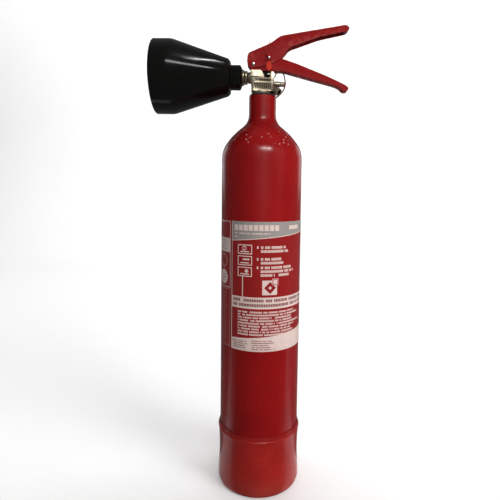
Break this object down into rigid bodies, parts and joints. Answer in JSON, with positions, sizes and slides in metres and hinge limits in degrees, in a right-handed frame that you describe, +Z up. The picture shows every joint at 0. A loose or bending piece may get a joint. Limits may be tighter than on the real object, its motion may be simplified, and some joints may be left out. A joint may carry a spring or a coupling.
{
  "type": "fire extinguisher",
  "caption": "Slim red steel gas extinguisher with a moulded foot, brass squeeze valve, twin levers, safety pin and black discharge horn.",
  "frame": {"origin": "centre of the moulded foot's flat bottom face, on the cylinder's axis", "axes": "+Z up the cylinder's axis; -X along the discharge horn; +X towards the tips of the levers"},
  "size_m": [0.2421, 0.107, 0.5857],
  "materials": {
    "red_paint": "gloss powder coat",
    "red_plastic": "satin moulded plastic",
    "label_film": "satin printed film",
    "label_side_film": "satin printed film",
    "nickel_brass": "satin nickel-plated brass",
    "black_rubber": "matt",
    "aluminium_tube": "drawn",
    "seat_plastic": "matt nylon",
    "bright_steel": "polished",
    "dark_brass": "dull, tarnished",
    "copper": "annealed",
    "black_plastic": "gloss",
    "lever_paint": "gloss powder coat",
    "seal_plastic": "translucent gloss",
    "leash_cord": "satin braided nylon"
  },
  "bodies": {
    "charged_cylinder": {"cylinder": "red_paint", "base_boot": "red_plastic", "label_main": "label_film", "label_side": "label_side_film", "valve_body": "nickel_brass", "neck_seal_ring": "black_rubber", "inlet_adapter": "nickel_brass", "dip_tube": "aluminium_tube", "valve_seat": "seat_plastic", "stem_o_ring": "black_rubber", "return_spring": "bright_steel", "gland_nut": "dark_brass", "side_port_plug": "nickel_brass", "burst_disc_plug": "nickel_brass", "burst_disc": "bright_steel", "burst_disc_washer": "copper", "outlet_nipple": "nickel_brass", "outlet_lock_ring": "nickel_brass", "outlet_o_ring": "black_rubber", "carry_handle": "lever_paint", "handle_screw": "bright_steel", "pivot_rivet": "bright_steel", "rivet_washer": "bright_steel", "leash": "leash_cord", "leash_anchor": "bright_steel"},
    "lever_assembly": {"operating_lever": "lever_paint", "lever_pusher": "lever_paint", "seal_strand": "seal_plastic"},
    "stem_assembly": {"stem": "bright_steel", "poppet": "nickel_brass"},
    "pin": {"safety_pin": "bright_steel"},
    "ring": {"pull_ring": "bright_steel"},
    "horn_assembly": {"horn": "black_plastic", "horn_collar": "black_plastic", "horn_socket": "nickel_brass", "discharge_nozzle": "nickel_brass"},
    "tag": {"seal_tag": "seal_plastic"}
  },
  "joints": [
    {"name": "lever_squeeze", "type": "hinge", "parent": "charged_cylinder", "child": "lever_assembly", "pos_m": [-0.0119, 0, 0.5368], "axis": [0, 1, 0], "range_deg": [0, 14], "stiffness_Nm_per_rad": 5, "springref_deg": -3.44, "deforming": ["seal_strand"]},
    {"name": "stem_press", "type": "slide", "parent": "charged_cylinder", "child": "stem_assembly", "axis": [0, 0, -1], "range_m": [0, 0.003], "deforming": ["return_spring"]},
    {"name": "safety_pin_pull", "type": "slide", "parent": "charged_cylinder", "child": "pin", "axis": [0, 1, 0], "range_m": [0, 0.045], "deforming": ["seal_strand", "leash"]},
    {"name": "ring_swing", "type": "hinge", "parent": "pin", "child": "ring", "pos_m": [0.0072, 0.014, 0.543], "axis": [1, 0, 0], "range_deg": [0, 100], "deforming": ["leash"]},
    {"name": "horn_swivel", "type": "hinge", "parent": "charged_cylinder", "child": "horn_assembly", "pos_m": [-0.03, 0, 0.522], "axis": [1, 0, 0], "continuous": true},
    {"name": "tag_swing", "type": "hinge", "parent": "lever_assembly", "child": "tag", "pos_m": [0.0072, -0.0136, 0.5434], "axis": [0, 1, 0], "range_deg": [-25, 25]}
  ],
  "couplings": [
    {"joint": "stem_press", "follows": "lever_squeeze", "m_per_rad": 0.0118}
  ]
}
